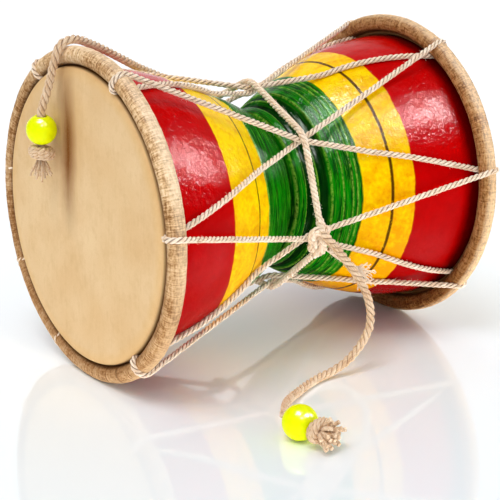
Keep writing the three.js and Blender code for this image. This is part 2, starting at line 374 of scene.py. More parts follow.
def finishShapes(bench, shapes, given):
    real = bench.make("GeometryNodeRealizeInstances", {"Geometry": shapes})[0]
    dressed = bench.make("GeometryNodeSetMaterial", {"Geometry": real, "Material": given["Finish"]})[0]
    bench.make("NodeGroupOutput", {"Geometry": dressed})
    return bench.tree


def meshOf(name, points, edges=(), faces=()):
    mesh = bpy.data.meshes.new(name)
    mesh.from_pydata([Vector(point) * millimetre for point in points], edges, faces)
    return mesh


def placed(mesh):  # a piece with the mesh's own name
    piece = bpy.data.objects.new(mesh.name, mesh)
    scene.collection.objects.link(piece)
    return piece


def grown(base, tree, sizes, finish):  # runs a tree on a mesh and keeps the result as a plain mesh
    piece = placed(base)
    modifier = piece.modifiers.new("shapes", "NODES")
    modifier.node_group = tree
    values = {**sizes, "Finish": finish}
    for socket in tree.interface.items_tree:
        if socket.in_out == "INPUT" and socket.name in values:
            modifier[socket.identifier] = values[socket.name]
    bpy.context.view_layer.update()
    depsgraph = bpy.context.evaluated_depsgraph_get()
    mesh = bpy.data.meshes.new_from_object(
        piece.evaluated_get(depsgraph), preserve_all_data_layers=True, depsgraph=depsgraph)
    piece.modifiers.remove(modifier)
    piece.data = mesh
    mesh.polygons.foreach_set("use_smooth", [True] * len(mesh.polygons))
    return piece


ropeSizes = {
    "Strands": 3,
    "Rope Diameter": 3.0,
    "Turn Length": 6.3,
    "Step": 0.75,
    "Sides": 5,
    "Hairs": 0.04,  # on a square millimetre
    "Hair Length": 1.2,
    "Seed": 1,
}

ropeShape = {
    "strandSwell": 1.06,  # strands are a little fatter than just touching
    "hairRadius": 0.055,
    "hairSizes": (0.4, 1.2),
}


def ropeTree(sizes, shape):
    bench, given = startShapes("twistedRope", sizes)
    keys = ("Rope Diameter", "Turn Length", "Step", "Hair Length")
    diameter, turnLength, step, hairLength = [given[key] * millimetre for key in keys]
    line = bench.make("GeometryNodeMeshToCurve", {"Mesh": given["Geometry"]})[0]
    line = bench.make("GeometryNodeResampleCurve", {"Curve": line, "Length": step}, mode="LENGTH")[0]
    copies = bench.make("GeometryNodeDuplicateElements", {
        "Geometry": line, "Amount": given["Strands"]}, domain="SPLINE")
    number = copies["Duplicate Index"]
    length = bench.make("GeometryNodeSplineParameter")["Length"]
    turn = number * (2 * pi) / given["Strands"] - length / turnLength * (2 * pi)
    # strands that just touch: the rope's radius is shared between the strand and its winding
    half = (pi / given["Strands"]).maths("SINE")
    strandRadius = diameter / 2 * half / (1 + half)
    winding = diameter / 2 - strandRadius
    normal = bench.make("GeometryNodeInputNormal")[0]
    tangent = bench.make("GeometryNodeInputTangent")[0]
    beside = tangent.vector("CROSS_PRODUCT", normal)
    across, deep = turn.maths("COSINE") * winding, turn.maths("SINE") * winding
    offset = normal.scaled(across).vector("ADD", beside.scaled(deep))
    spot = bench.position()
    wound = copies["Geometry"].keep("ropeMiddle", spot, "FLOAT_VECTOR").moved(offset)
    wound = wound.keep("ropeAlong", length / millimetre).keep("ropeStrand", number)
    section = bench.circle(given["Sides"], strandRadius * shape["strandSwell"])
    section = section.keep("ropeRound", spot.vector("NORMALIZE"), "FLOAT_VECTOR")
    middle = bench.make("GeometryNodeInputNamedAttribute", {
        "Name": "ropeMiddle"}, data_type="FLOAT_VECTOR")[0]
    rise = spot.vector("DISTANCE", middle, output="Value") / (diameter / 2)
    strands = wound.swept(section).keep("ropeRise", rise)
    points = bench.make("GeometryNodeDistributePointsOnFaces", {
        "Mesh": strands, "Density": given["Hairs"] / millimetre ** 2, "Seed": given["Seed"]})
    hairLine = bench.make("GeometryNodeCurveQuadraticBezier", {
        "Resolution": 3, "Start": (0, 0, 0),
        "Middle": bench.joined(hairLength * 0.2, 0.0, hairLength * 0.55),
        "End": bench.joined(hairLength * 0.85, hairLength * 0.1, hairLength * 0.8)})[0]
    hair = hairLine.swept(bench.circle(3, shape["hairRadius"] * millimetre)).keep("ropeRise", 1.0)
    size = bench.random(*shape["hairSizes"], given["Seed"])
    spin = bench.random(0.0, 2 * pi, given["Seed"] + 7)
    hairs = bench.make("GeometryNodeInstanceOnPoints", {
        "Points": points["Points"], "Instance": hair, "Rotation": points["Rotation"],
        "Scale": bench.joined(size, size, size)})[0]
    hairs = bench.make("GeometryNodeRotateInstances", {
        "Instances": hairs, "Rotation": bench.joined(0.0, 0.0, spin)})[0]
    both = bench.make("GeometryNodeJoinGeometry", {0: [strands, hairs]})[0]
    return finishShapes(bench, both, given)


twistedRope = ropeTree(ropeSizes, ropeShape)


def onDrum(piece, node=None):  # every piece rides on the one body
    for vertex in piece.data.vertices:  # nothing dips into the floor
        vertex.co.z = max(vertex.co.z, drum["floorGap"] * millimetre)
    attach(piece, "root")
    if node:
        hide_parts(node)
    return piece


def rope(name, line, node=None, finish=juteFinish, **sizes):
    edges = [(number, number + 1) for number in range(len(line) - 1)]
    piece = grown(meshOf(name, line, edges), twistedRope, {**ropeSizes, **sizes}, finish)
    return onDrum(piece, node)


# The striker cords, with a bead and a stopper knot on each.

strikerCord = {
    "diameter": 4.2,
    "turnLength": 10.4,
}

frontStriker = {
    "route": [
        (-4.6, -62.6, 73.0), (-0.8, -64.6, 69.4), (3.5, -65.0, 64.6), (8, -65.2, 59.5), (12.5, -65.8, 53.8),
        (17, -67, 47.2), (20.2, -68.5, 40.8), (21.8, -70, 34.8), (22.3, -71, 28.3), (20.7, -71.8, 21.2),
        (15.4, -71.8, 13.6), (8, -71.6, 7.6), (0, -70.8, 3.9), (-8.8, -71.4, 2.6), (-19.2, -75.2, 2.4),
        (-30.3, -81.2, 2.8), (-40.6, -88.4, 4.2), (-47.9, -96, 5.8), (-53.6, -103.3, 7.3),
    ],
    "beadCentre": (-57.2, -118.8, 8.3),
    "beadAxis": (0.12, -0.98, 0.0),
    "beadDiameter": 16.2,
    "length": 0.177,  # metres
    "tuft": {
        "Yarns": 22, "Length": 8.4, "Spread": 0.62, "Yarn Radius": 1.0, "Root Radius": 2.7,
        "Waver": 1.6, "Seed": 5,
    },
}

topStriker = {
    "route": [
        (-3.9, 47.2, 119.8), (-12, 46.5, 125.8), (-22, 44.5, 131), (-33, 40.5, 135.8), (-44, 35.2, 140.6),
        (-54, 29.5, 145.4), (-64, 25.5, 150.4), (-72, 22.5, 154.2), (-80, 18.8, 157.6), (-87, 15.6, 160.2),
        (-92.5, 13.4, 161.0), (-98.1, 13.2, 158.8), (-100.9, 14.2, 151), (-102, 16.4, 143),
        (-103.4, 18.4, 135.5),
    ],
    "beadCentre": (-105.0, 20.9, 118.8),
    "beadAxis": (0.0, 0.06, -1.0),
    "beadDiameter": 14.6,
    "length": 0.163,
    "tuft": {
        "Yarns": 14, "Length": 12.5, "Spread": 0.4, "Yarn Radius": 0.5, "Root Radius": 1.5,
        "Waver": 1.0, "Seed": 2,
    },
}

bead = {
    "boreDiameter": 4.9,
    "lipRound": 0.5,
    "cordReach": 1.4,  # how far the cord runs straight on each side of it
    "sides": 56,
    "steps": 26,
    "tint": colour(228, 242, 2),
    "light": colour(240, 250, 8),
}


def turnedMesh(name, profile, sides, finish, wobble=None):
    # turns a line of (along, radius) pairs about X; a line whose ends meet is a ring
    closed = profile[0] == profile[-1]
    rows = profile[:-1] if closed else profile
    vertices, rings = [], []
    for along, radius in rows:
        count = 1 if radius == 0 else sides
        ring = []
        for number in range(count):
            angle = 2 * pi * number / count
            spot = Vector((along, radius * sin(angle), radius * cos(angle)))
            if wobble:
                spot = wobble(spot, radius, angle)
            ring.append(len(vertices))
            vertices.append(spot)
        rings.append(ring)
    faces = []
    for first, second in zip(rings, rings[1:] + ([rings[0]] if closed else [])):
        for number in range(sides):
            ahead = (number + 1) % sides
            corners = [first[number % len(first)], first[ahead % len(first)],
                       second[ahead % len(second)], second[number % len(second)]]
            corners = list(dict.fromkeys(corners))
            if len(corners) > 2:
                faces.append(corners)
    mesh = meshOf(name, vertices, (), faces)
    shape = bmesh.new()
    shape.from_mesh(mesh)
    bmesh.ops.recalc_face_normals(shape, faces=shape.faces)
    shape.to_mesh(mesh)
    shape.free()
    mesh.materials.append(finish)
    mesh.polygons.foreach_set("use_smooth", [True] * len(mesh.polygons))
    return mesh


def turnOnto(axis):  # the turn that takes the X axis onto an axis
    return Vector((1, 0, 0)).rotation_difference(Vector(axis)).to_matrix()


def aim(mesh, centre, axis=(1, 0, 0)):
    mesh.transform(Matrix.Translation(Vector(centre) * millimetre) @ turnOnto(axis).to_4x4())
    return mesh


def beadMaterial(bead):
    bench = startMaterial("beadGloss")
    spot = bench.place()
    mottle = spot.cloud(0.5)
    base = bench.blend(mottle.ease(0.35, 0.75), bead["tint"], bead["light"])
    return finishMaterial(bench, base, 0.16 + mottle * 0.08, spot.cloud(1.4), 0.05, 0.35,
                          Coat_Weight=0.04, Coat_Roughness=0.12, Specular_IOR_Level=0.06)


def beadProfile(bead, diameter):
    radius, hole = diameter / 2, bead["boreDiameter"] / 2
    start = acos(hole / radius)
    line = []
    for step in range(bead["steps"] + 1):
        angle = -start + 2 * start * step / bead["steps"]
        line.append([radius * sin(angle), radius * cos(angle)])
    lip = bead["lipRound"]
    line[0] = [line[0][0] + lip * 0.7, hole + lip * 0.3]
    line[-1] = [line[-1][0] - lip * 0.7, hole + lip * 0.3]
    line += [[line[-1][0] - lip, hole], [line[0][0] + lip, hole]]
    return [tuple(spot) for spot in line + [line[0]]]


beadFinish = beadMaterial(bead)

# A stopper knot: the cord goes a few times round the axis, a little aslant, and ends in the middle.
stopperKnot = {
    "cordDiameter": 3.7,
    "turnLength": 6.5,
    "centreRadius": 4.2,
    "slant": 0.75,
    "halfLength": 2.0,
    "turns": 3.2,
    "endRadius": 0.3,
    "tucked": 0.1,  # how far it is pressed against the bead
    "points": 120,
}


def coiledLine(knot):
    line = []
    for number in range(knot["points"] + 1):
        share = number / knot["points"]
        turn = 2 * pi * knot["turns"] * share
        radius = knot["centreRadius"] * (1 - abs(2 * share - 1) ** 7) + knot["endRadius"]
        along = knot["halfLength"] * (2 * share - 1) + knot["slant"] * sin(turn)
        line.append(Vector((along, radius * cos(turn), radius * sin(turn))))
    return line


# The cord's end beyond the knot, opened into its yarns.
frayedEnd = {
    "Yarns": 11,
    "Length": 10.5,
    "Root Radius": 1.5,
    "Spread": 0.5,  # sideways for each unit of length
    "Yarn Radius": 0.62,
    "Waver": 1.1,
    "Seed": 3,
}


frayShape = {
    "points": 11,
    "sides": 7,
    "reaches": (0.62, 1.05),  # of the yarns, as shares of the length
    "turnApart": 2.4,  # radians, which spreads the yarns evenly over the end
    "splayBend": 1.35,
    "waverScale": 260,  # for each metre
    "taper": 0.35,
    "tipTaper": 0.75,
}


def frayTree(sizes, shape):
    bench, given = startShapes("frayedEnd", sizes)
    length = given["Length"] * millimetre
    root = given["Root Radius"] * millimetre
    number = bench.make("GeometryNodeInputIndex")[0]
    angle = number * shape["turnApart"]
    radius = ((number + 0.5) / given["Yarns"]).maths("SQRT") * root
    start = bench.joined(0.0, angle.maths("COSINE") * radius, angle.maths("SINE") * radius)
    points = bench.make("GeometryNodePoints", {"Count": given["Yarns"], "Position": start})[0]
    one = bench.make("GeometryNodeCurvePrimitiveLine", {
        "Start": (0, 0, 0), "End": bench.joined(length, 0.0, 0.0)})[0]
    one = bench.make("GeometryNodeResampleCurve", {"Curve": one, "Count": shape["points"]}, mode="COUNT")[0]
    reach = bench.random(*shape["reaches"], given["Seed"])
    yarns = bench.make("GeometryNodeInstanceOnPoints", {
        "Points": points, "Instance": one, "Scale": bench.joined(reach, 1.0, 1.0)})[0]
    yarns = bench.make("GeometryNodeRealizeInstances", {"Geometry": yarns})[0]
    place = bench.make("GeometryNodeSplineParameter")["Factor"]
    spot = bench.position()
    outwards = spot.vector("MULTIPLY", (0, 1, 1))
    splay = outwards.scaled(place ** shape["splayBend"] * given["Spread"] * length / root)
    shifted = spot.scaled(shape["waverScale"]).vector("ADD", bench.joined(given["Seed"] * 3.7, 0.0, 0.0))
    drift = bench.make("ShaderNodeTexNoise", {"Vector": shifted, "Scale": 1.0, "Detail": 1.0})["Color"]
    drift = drift.vector("SUBTRACT", (0.5, 0.5, 0.5))
    waver = drift.scaled(place * given["Waver"] * 3 * millimetre)
    yarns = yarns.moved(splay.vector("ADD", waver))
    width = (1 - place * place * shape["taper"]) * (1 - place ** 14.0 * shape["tipTaper"])
    yarns = bench.make("GeometryNodeSetCurveRadius", {"Curve": yarns, "Radius": width})[0]
    yarns = yarns.keep("ropeAlong", place * given["Length"]).keep("ropeStrand", number * 0.09)
    # a made-up rise, so that the painted shade between strands darkens the yarns towards their root
    yarns = yarns.keep("ropeRise", 0.66 + place * 0.5)
    section = bench.circle(shape["sides"], given["Yarn Radius"] * millimetre)
    section = section.keep("ropeRound", spot.vector("NORMALIZE"), "FLOAT_VECTOR")
    return finishShapes(bench, yarns.swept(section), given)


openedYarns = frayTree(frayedEnd, frayShape)


def fray(name, centre, axis, finish=juteFinish, **sizes):
    piece = grown(meshOf(name, [(0, 0, 0)]), openedYarns, {**frayedEnd, **sizes}, finish)
    aim(piece.data, centre, axis)
    return onDrum(piece)


def makeStriker(prefix, striker):
    centre = Vector(striker["beadCentre"])
    axis = Vector(striker["beadAxis"]).normalized()
    half = striker["beadDiameter"] / 2
    reach = axis * (half + bead["cordReach"])
    line = curvedLine([*striker["route"], centre - reach, centre, centre + reach], 0.5)
    cord = rope(prefix + "StrikerCord", line, prefix + "_striker_cord", strikerFinish, **{
        "Rope Diameter": strikerCord["diameter"], "Turn Length": strikerCord["turnLength"],
        "Step": 0.5, "Sides": 8, "Hairs": 0.06, "Seed": 4})
    profile = beadProfile(bead, striker["beadDiameter"])
    ball = aim(turnedMesh(prefix + "Bead", profile, bead["sides"], beadFinish), centre, axis)
    ball = onDrum(placed(ball), prefix + "_bead")
    knotReach = stopperKnot["halfLength"] + stopperKnot["cordDiameter"] / 2 - stopperKnot["tucked"]
    knotCentre = centre + axis * (half + knotReach)
    wound = [knotCentre + turnOnto(axis) @ spot for spot in coiledLine(stopperKnot)]
    knot = rope(prefix + "Knot", wound, prefix + "_knot", strikerFinish, **{
        "Rope Diameter": stopperKnot["cordDiameter"], "Turn Length": stopperKnot["turnLength"],
        "Step": 0.5, "Sides": 8, "Hairs": 0.08, "Seed": 6})
    root = knotCentre + axis * stopperKnot["halfLength"] * 0.6
    end = fray(prefix + "Tuft", root, axis, strikerFinish, **striker["tuft"])
    [tuple(spot * millimetre) for spot in line]
    print(prefix, "striker cord made,", round(lengthOf(line), 1), "mm long")


makeStriker("front", frontStriker)
makeStriker("top", topStriker)


# Lacing.

lacing = {
    "ropeDiameter": 3.0,
    "turnLength": 8.6,
    "leftDegrees": [-33, 25, 84, 142, 203, 240, 277],
    "rightDegrees": [-26, 27, 81, 131, 200, 240, 281],
    "leftBite": [1.4, 0.8, 0.8, 0.9, 2.6, 2.6, 2.6],  # how deep the rope is pressed into the hoops' hide
    "rightBite": [1.6, 1.5, 1.5, 1.5, 1.8, 1.8, 1.8],
    "firstPoint": 5,  # the point, on the left hoop, that the rope leaves first
    "hoopGap": 0.3,
    "shellGap": 0.2,
    "lapSteps": 10,
    "levelDrop": 2.9,  # between two strands that cross
    "shares": [0.06, 0.12, 0.19, 0.26, 0.33, 0.4, 0.47, 0.54, 0.61, 0.68, 0.75],
    "knotShare": 0.18,
    "knotSizes": (9, 7.6, 2.9),  # its length, its diameter and its cord's diameter
}

waist = {
    "cordDiameter": 3.4,
    "turnLength": 7.0,
    "ties": [(0, 17.5), (51.5, 19), (105, 19.5), (155, 14), (212, 16.5), (260, 17), (308, 17.5)],
    "frontTie": 2,
    "knotDegrees": 102.5,
    "knotDiameter": 4.4,
    "strikerTie": 6,
    "tieOutside": 6.0,
    "tieSizes": (10, 9.2, 3.6),
    "kneeHalf": 2.6,
    "knotReach": 20.8,  # from the shell's waist to the middle of the front knot
    "knotLine": [  # along the drum, up round the waist, outwards
        (0.3, 8.2, -1.2), (0.6, 6.2, 0.2), (0.6, 2.8, 2.0), (-2.4, -0.4, 2.4), (-2.5, -3.9, 0.4),
        (0.4, -4.6, -2.2), (3.3, -0.6, -1.9), (3.3, 3.8, 0.5), (1.2, 4.9, 2.7), (-0.6, 1.5, 4.2),
        (0.2, -3.0, 4.0), (0.3, -6.4, 1.0), (0.2, -8.4, -1.0),
    ],
    "knotSpread": (1.2, 1.1, 1.15),
    "leadLine": [  # the striker cord's way out of the knot, in the same frame
        (-1.5, -2.5, -0.4), (-3.6, -0.6, 0.8), (-5.2, 2.0, 1.8), (-5.6, 5.0, 2.8), (-4.8, 7.2, 4.4),
        (-3.2, 6.4, 5.8),
    ],
    "tail": [(3.5, -60.6, 62.2), (8, -61.2, 58.6), (13, -61, 55), (18, -60.5, 51.2), (21.5, -60, 48.6)],
    "tailDiameter": 3.0,
    "tailEnd": {
        "Yarns": 26, "Length": 12.5, "Spread": 0.5, "Yarn Radius": 0.34, "Root Radius": 1.3,
        "Waver": 1.9, "Seed": 8,
    },
}


def shellRadius(along):
    share = min(abs(along) / drum["halfLength"], 1)
    swell = sin(share * pi / 2) + drum["cupFullness"] * sin(share * pi) ** 2
    return drum["waistRadius"] + (drum["mouthRadius"] - drum["waistRadius"]) * swell


def lapPoints(side, point):  # round a hoop's tube, from the shell's side to the rim
    name = "left" if side < 0 else "right"
    degrees, bite = lacing[name + "Degrees"][point], lacing[name + "Bite"][point]
    reach = drum["hoopTubeRadius"] + lacing["ropeDiameter"] / 2 + lacing["hoopGap"] - bite
    points = []
    for step in range(lacing["lapSteps"] + 1):
        angle = pi * (step / lacing["lapSteps"] - 0.5)
        along = drum["hoopPlane"] + reach * cos(angle)
        points.append(around(side * along, drum["hoopCentreRadius"] + reach * sin(angle), degrees))
    return points


def crossingPlace(tie, level):
    degrees, reach = waist["ties"][tie]
    under = drum["waistRadius"] + reach - waist["cordDiameter"] / 2 - lacing["ropeDiameter"] / 2
    return around(0, under - level * lacing["levelDrop"], degrees)


def overShell(start, end):  # straight, but lifted where the cup swells in its way
    points = []
    outside = lacing["ropeDiameter"] / 2 + lacing["shellGap"]
    for share in lacing["shares"]:
        point = start.lerp(end, share)
        height = point.z - drum["axisHeight"]
        lift = (shellRadius(point.x) + outside) / hypot(point.y, height)
        if lift > 1:
            point = Vector((point.x, point.y * lift, drum["axisHeight"] + height * lift))
        points.append(point)
    return points


def lacingRoute():
    points = []
    count = len(waist["ties"])
    for step in range(2 * count):
        here = (lacing["firstPoint"] + step) % count
        ahead = (here + 1) % count
        side = -1 if step % 2 == 0 else 1
        rim = lapPoints(side, here)[-1]
        middle = crossingPlace(here, 0 if side < 0 else 1)
        arriving = lapPoints(-side, ahead)
        points += [*overShell(rim, middle), middle, *reversed(overShell(arriving[0], middle)), *arriving]
    return points


# A knot on the hidden side: the cord winds round the axis and crosses itself.
crossedKnot = {
    "coilShare": 0.62,  # of its radius, to the middle of the coils
    "swingShare": 0.58,  # of that, in and out
    "turnLength": 6.0,
    "points": 90,
}


def crossedLine(knot, length, diameter, cordDiameter):
    coil = (diameter - cordDiameter) / 2 * knot["coilShare"]
    line = []
    for number in range(knot["points"] + 1):
        turn = 2 * pi * number / knot["points"]
        along = (length - cordDiameter) / 2 * sin(3 * turn)
        radius = coil + coil * knot["swingShare"] * cos(3 * turn)
        line.append(Vector((along, radius * cos(2 * turn), radius * sin(2 * turn))))
    return line


def tieKnot(name, node, centre, axis, sizes, seed):
    turn = turnOnto(axis.normalized())
    line = [centre + turn @ spot for spot in crossedLine(crossedKnot, *sizes)]
    rope(name, line, node, **{
        "Rope Diameter": sizes[-1], "Turn Length": crossedKnot["turnLength"], "Step": 0.5, "Sides": 7,
        "Hairs": 0.08, "Seed": seed})


laced = lacingRoute()
knotPlace = laced[-1].lerp(laced[0], lacing["knotShare"])
laced = roundedLine([knotPlace, *laced, knotPlace], 0.8, 7)
rope("lacingRope", laced, "lacing_rope", **{
    "Rope Diameter": lacing["ropeDiameter"], "Turn Length": lacing["turnLength"], "Seed": 11})
tieKnot("lacingKnot", "lacing_knot", knotPlace, laced[12] - laced[2], lacing["knotSizes"], 12)
print("lacing made,", round(lengthOf(laced)), "mm of rope")


# The cord round the waist, its knot and its frayed tail.

def waistLine():
    ties = waist["ties"]
    front = waist["frontTie"]
    points = []
    for degrees, reach in [*ties[front + 1:], *ties[:front]]:
        radius = drum["waistRadius"] + reach
        spread = waist["kneeHalf"] / radius * (180 / pi)
        points += [around(0, radius, degrees - spread), around(0, radius, degrees + spread)]
    return points


def atKnot(points, spread=(1, 1, 1)):  # points given from the front knot's middle, in its directions
    degrees = waist["knotDegrees"]
    middle = around(0, drum["waistRadius"] + waist["knotReach"], degrees)
    outwards = (around(0, 1, degrees) - around(0, 0, degrees)).normalized()
    upwards = (around(0, 1, degrees - 90) - around(0, 0, degrees)).normalized()
    line = []
    for point in points:
        steps = zip((Vector((1, 0, 0)), upwards, outwards), point, spread)
        line.append(sum((way * reach * wide for way, reach, wide in steps), middle))
    return line


knotted = atKnot(waist["knotLine"], waist["knotSpread"])
lead = atKnot(waist["leadLine"])
waistRoute = roundedLine([knotted[-1], *waistLine(), knotted[0]], 1.0, 8)
cordSizes = {
    "Rope Diameter": waist["cordDiameter"], "Turn Length": waist["turnLength"], "Step": 0.55, "Sides": 8,
    "Hairs": 0.06,
}
rope("waistCord", waistRoute, "waist_cord", **{**cordSizes, "Seed": 21})
rope("waistKnot", curvedLine(knotted, 0.5), "waist_knot", **{
    **cordSizes, "Rope Diameter": waist["knotDiameter"], "Seed": 22})
rope("frontCordLead", curvedLine(lead, 0.5), **{
    **cordSizes, "Rope Diameter": strikerCord["diameter"], "Seed": 25})
tail = curvedLine(waist["tail"], 0.6)
rope("waistTail", tail, **{
    **cordSizes, "Rope Diameter": waist["tailDiameter"], "Hairs": 0.12, "Seed": 23})
fray("waistTailEnd", tail[-3], tail[-1] - tail[-6], **waist["tailEnd"])
tieDegrees, tieReach = waist["ties"][waist["strikerTie"]]
tieMiddle = around(0, drum["waistRadius"] + tieReach + waist["tieOutside"], tieDegrees)
tieAxis = Vector(topStriker["route"][0]) - tieMiddle
tieKnot("topTieKnot", "top_tie_knot", tieMiddle, tieAxis, waist["tieSizes"], 24)
print("waist cord and knots made")


# Shell.

shell = {
    "sides": 160,
    "cupSteps": 40,
    "waistStep": 0.35,
    "waistFrom": -27.0,
    "waistTo": 31.0,
    "innerSteps": 24,
    "coves": [  # from, to, depth
        (-2.6, 1.6, 2.9), (6.0, 11.2, 2.6), (11.6, 17.0, 2.3),
        (21.9, 22.5, 0.3), (26.0, 26.6, 0.3), (28.1, 28.7, 0.25),
    ],
    "beads": [  # from, to, height
        (-24.2, -2.6, 1.5), (1.6, 6.0, 0.6),
    ],
    "bands": [  # where each colour starts, along the drum
        (-200.0, "red"), (-52.2, "yellow"), (-24.2, "green"), (30.5, "yellow"), (55.3, "red"),
    ],
    "lines": [  # place and half width of the thin dark lines
        (-32.6, 0.44), (44.3, 0.72),
    ],
    "edges": [-24.0, -2.8, 1.7, 5.9, 11.4, 17.1, 22.2, 26.3, 28.4],  # where highlights are painted on the turned wood's edges
    "edgeHalf": 0.28,
    "red": colour(196, 2, 6),
    "redDeep": colour(181, 1, 4),
    # dark red for the painted shade low on the cups and beside the hoops
    "redShade": colour(62, 0, 2),
    "yellow": colour(255, 214, 2),
    # amber for the paint's own veins and for painted shade low down
    "amber": colour(236, 154, 4),
    "green": colour(6, 126, 8),
    "greenBright": colour(84, 172, 34),
    "greenDark": colour(4, 66, 12),
    "greenDeep": colour(2, 36, 12),
    "turnedEdge": colour(150, 190, 70),
    "line": colour(88, 54, 12),
}


def relief(along):
    height = 0.0
    for start, end, depth in shell["coves"]:
        if start < along < end:
            height -= depth * sin(pi * (along - start) / (end - start)) ** 0.8
    for start, end, rise in shell["beads"]:
        if start < along < end:
            share = 2 * (along - start) / (end - start) - 1
            height += rise * sqrt(1 - share ** 2)
    return height


def boreRadius(along):
    share = abs(along) / drum["halfLength"]
    mouth = drum["mouthRadius"] - drum["mouthWall"]
    return drum["boreRadius"] + (mouth - drum["boreRadius"]) * sin(share * pi / 2)


def shellProfile(shell):
    half, start, end = drum["halfLength"], shell["waistFrom"], shell["waistTo"]
    stations = [-half + (start + half) * step / shell["cupSteps"] for step in range(shell["cupSteps"])]
    fine = round((end - start) / shell["waistStep"])
    stations += [start + (end - start) * step / fine for step in range(fine)]
    stations += [end + (half - end) * step / shell["cupSteps"] for step in range(shell["cupSteps"] + 1)]
    outside = [(along, shellRadius(along) + relief(along)) for along in stations]
    inside = []
    for step in range(shell["innerSteps"] + 1):
        along = half * (1 - 2 * step / shell["innerSteps"])
        inside.append((along, boreRadius(along)))
    return [*outside, *inside, outside[0]]


def lacquerMaterial(shell):
    bench = startMaterial("lacquer")
    spot = bench.place()
    along, across, height = spot.split()
    soft = spot.cloud(0.12)
    edge = along + (soft - 0.5) * 1.6
    streak = spot.vector("MULTIPLY", (1.1, 0.05, 0.05)).cloud(1.0, 4.0, 0.65)
    thin = spot.vector("MULTIPLY", (3.4, 0.11, 0.11)).cloud(1.0, 3.0, 0.6)
    mottle = spot.cloud(0.16, 4.0, 0.6, 0.6)
    fleck = spot.cloud(0.55, 3.0, 0.6)

    red = bench.blend(mottle.ease(0.3, 0.7), shell["redDeep"], shell["red"])
    # painted shade: the red darker towards the bottom
    red = bench.blend((1 - height.ease(24.0, 100.0)) * 0.42, red, shell["redShade"])
    # the amber is partly the paint's own veins and partly painted shade, which grows towards the bottom
    low = 1 - height.ease(30.0, 125.0)
    amber = (mottle * 0.6 + fleck * 0.4 + low * 0.24 + along.ease(25, 60) * 0.12).ease(0.48, 0.8)
    yellow = bench.blend(amber, shell["yellow"], shell["amber"])
    green = bench.blend(streak.ease(0.44, 0.56), shell["greenDark"], shell["green"])
    green = bench.blend(thin.ease(0.53, 0.66) * 0.75, green, shell["greenBright"])
    # painted shade in the three deep coves of the waist
    for start, end, _ in shell["coves"][:3]:
        deep = along.near((start + end) / 2, (end - start) / 2 - 0.6, 0.7)
        green = bench.blend(deep * 0.9, green, shell["greenDeep"])
    # painted highlights along the turned edges, broken up by the flecks
    shine = fleck.ease(0.35, 0.6) * 0.8
    for place in shell["edges"]:
        green = bench.blend(along.near(place, shell["edgeHalf"], 0.3) * shine, green, shell["turnedEdge"])

    tints = {"red": red, "yellow": yellow, "green": green}
    base = tints[shell["bands"][0][1]]
    for place, name in shell["bands"][1:]:
        base = bench.blend(edge.ease(place - 0.3, place + 0.3), base, tints[name])
    # painted shade on the lacquer in the strip beside each hoop
    rim = (abs(along) + (soft - 0.5) * 3).ease(82.0, 88.5)
    base = bench.blend(rim * 0.85, base, shell["redShade"])
    for place, halfWidth in shell["lines"]:
        drawn = (along + (soft - 0.5) * 0.8).near(place, halfWidth, 0.25)
        base = bench.blend(drawn * fleck.ease(0.2, 0.42), base, shell["line"])

    waves = spot.cloud(0.09)
    crinkle = spot.cloud(0.57, 3.0, 0.58, 0.5)
    inGreen = along.near(3.1, 27.4, 0.5)
    bumps = waves * 1.5 + crinkle * 0.46 + thin * inGreen * 0.3
    return finishMaterial(bench, base, 0.1 + fleck * 0.09, bumps, 1.0, 0.56, Specular_IOR_Level=0.03)


lacquerFinish = lacquerMaterial(shell)
shellMesh = turnedMesh("drumShell", shellProfile(shell), shell["sides"], lacquerFinish)
aim(shellMesh, (0, 0, drum["axisHeight"]))
onDrum(placed(shellMesh), "shell")
print("shell made,", len(shellMesh.polygons), "faces")


# Heads.

head = {
    "sides": 128,
    "rings": 26,
    "flatRadius": 67.2,
    "edge": [  # how far below the face the lapped edge is, and its radius there
        (0.06, 68.0), (0.25, 68.9), (0.6, 69.7), (1.1, 70.3), (1.8, 70.7), (2.6, 70.9), (3.5, 71.05),
        (4.4, 71.4), (4.8, 71.1), (4.7, 70.2),
    ],
    "lipDepth": 4.2,
    "mouthGap": 0.3,
    "endGap": 0.25,
    "waver": 0.16,
    "streakAcross": 10.6,  # the painted shadow of the top striker cord and bead on the left head
    "streakHeight": 111.0,
    "face": colour(217, 181, 134),
    "pale": colour(226, 195, 151),
    "grain": colour(196, 154, 104),
    # the colour of the painted shadow cast by the top striker cord and bead
    "stain": colour(112, 60, 10),
    "warm": colour(219, 172, 108),
    # the groove colour is painted shade
    "groove": colour(98, 62, 32),
}


def headProfile(head):
    face, inner = drum["skinFace"], drum["halfLength"] + head["endGap"]
    mouth = drum["mouthRadius"] + head["mouthGap"]
    flat = [(face, head["flatRadius"] * step / head["rings"]) for step in range(head["rings"] + 1)]
    edge = [(face - depth, radius) for depth, radius in head["edge"]]
    inside = [(inner, mouth), (inner, mouth - 3), (inner, mouth * 0.5), (inner, 0.0)]
    return [*flat, *edge, (face - head["lipDepth"], mouth), *inside]


